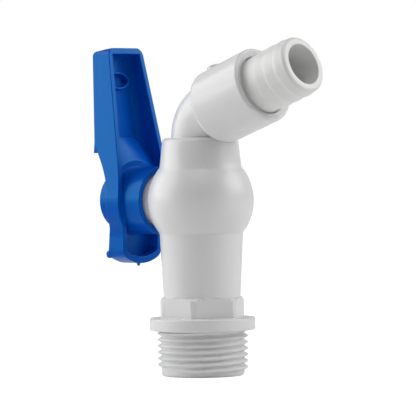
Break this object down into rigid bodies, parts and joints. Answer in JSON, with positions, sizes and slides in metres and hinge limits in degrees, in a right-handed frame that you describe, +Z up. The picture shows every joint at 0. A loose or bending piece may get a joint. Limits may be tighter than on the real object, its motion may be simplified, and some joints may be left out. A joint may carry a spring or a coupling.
{
  "type": "bottle tap",
  "caption": "Plastic quarter-turn ball tap with threaded inlet, sealing flange, bent outlet with a hose tail and a hollow lever handle.",
  "frame": {"origin": "centre of the flange's underside, its sealing face, on the axis of the inlet thread", "axes": "+Z up along the body from the inlet to the outlet, +X towards the outlet's side; the lever turns about the X axis on the -X side"},
  "size_m": [0.0777, 0.0308, 0.0974],
  "materials": {
    "pvc_white": "moulded PVC, soft gloss",
    "tail_white": "moulded PVC, soft gloss",
    "ball_white": "polished",
    "seat_white": "matt, self-lubricating",
    "stem_white": "moulded",
    "rubber_black": "matt",
    "handle_blue": "moulded, semi-gloss",
    "steel": "zinc plated"
  },
  "bodies": {
    "body": {"valve_body": "pvc_white", "outlet_elbow": "pvc_white", "hose_tail": "tail_white", "inlet_seat": "seat_white", "outlet_seat": "seat_white", "inlet_seat_ring": "rubber_black", "outlet_seat_ring": "rubber_black"},
    "lever": {"handle": "handle_blue", "stem": "stem_white", "thrust_washer": "seat_white", "stem_ring_inner": "rubber_black", "stem_ring_outer": "rubber_black", "handle_screw": "steel", "screw_washer": "steel", "screw_cap": "handle_blue"},
    "ball": {"ball": "ball_white"}
  },
  "joints": [
    {"name": "lever_turn", "type": "hinge", "parent": "body", "child": "lever", "pos_m": [0, 0, 0.0377], "axis": [1, 0, 0], "range_deg": [0, 90]},
    {"name": "ball_turn", "type": "hinge", "parent": "body", "child": "ball", "pos_m": [0, 0, 0.0377], "axis": [1, 0, 0], "range_deg": [0, 90]}
  ],
  "couplings": [
    {"joint": "ball_turn", "follows": "lever_turn", "ratio": 1}
  ]
}
